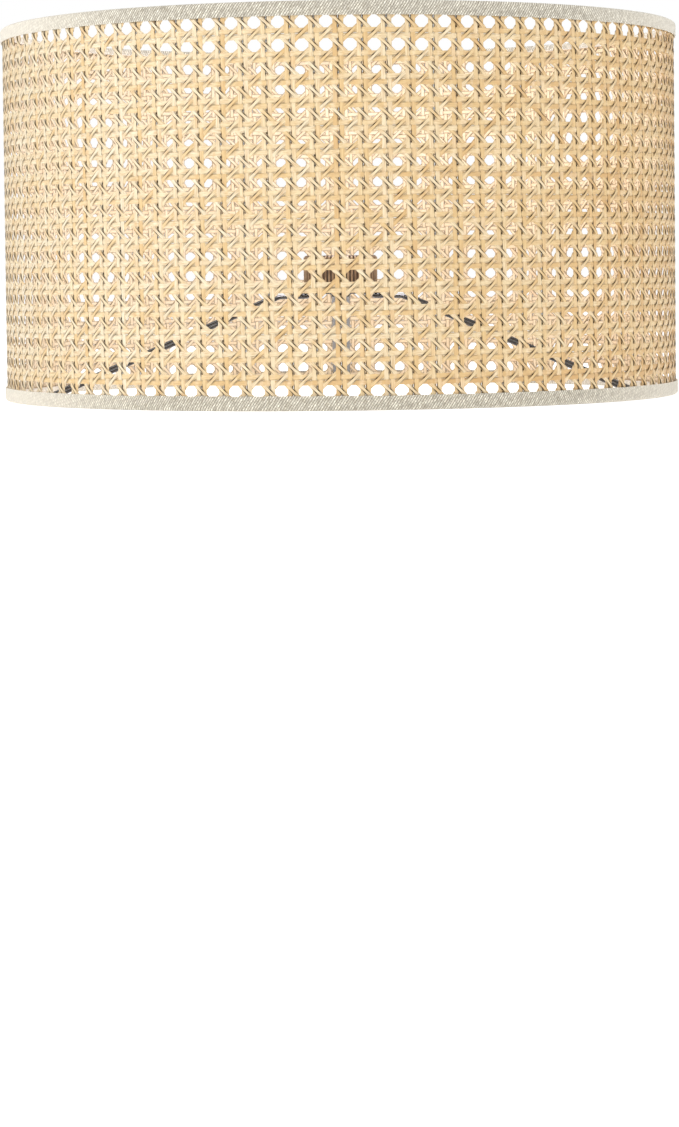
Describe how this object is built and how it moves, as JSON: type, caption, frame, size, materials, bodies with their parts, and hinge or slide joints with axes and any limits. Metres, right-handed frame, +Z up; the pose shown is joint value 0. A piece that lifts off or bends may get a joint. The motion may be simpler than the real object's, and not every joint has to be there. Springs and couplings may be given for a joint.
{
  "type": "lamp shade",
  "caption": "Open drum lamp shade of woven cane webbing bound with linen tape, on two wire rings, with a low wire spider and a ribbed ring that clamps it to a lamp holder.",
  "frame": {"origin": "middle of the bottom rim, on the shade's axis, at the height of the bottom trim's lowest face", "axes": "+Z up the shade's axis to the open top; +Y away from the side that faces the viewer; +X to the viewer's right; one spider arm runs along +Y"},
  "size_m": [0.4, 0.4, 0.218],
  "materials": {
    "cane": "natural split cane, pale golden tan, with the glossy skin outwards",
    "linen": "oatmeal linen tape, plain weave, matt",
    "rim_steel": "white-coated steel wire",
    "black_steel": "satin black paint on steel wire and sheet",
    "phenolic": "brown moulded phenolic, slightly shiny on the ribs"
  },
  "bodies": {
    "shade": {"cane_webbing": "cane", "top_trim": "linen", "bottom_trim": "linen", "top_ring": "rim_steel", "bottom_ring": "rim_steel", "fitter_ring": "black_steel", "spider_arm_left": "black_steel", "spider_arm_right": "black_steel", "spider_arm_rear": "black_steel"},
    "clamp": {"retaining_ring": "phenolic"}
  },
  "joints": [
    {"name": "ring_lift_off", "type": "slide", "parent": "shade", "child": "clamp", "axis": [0, 0, 1], "range_m": [0, 0.18]}
  ]
}
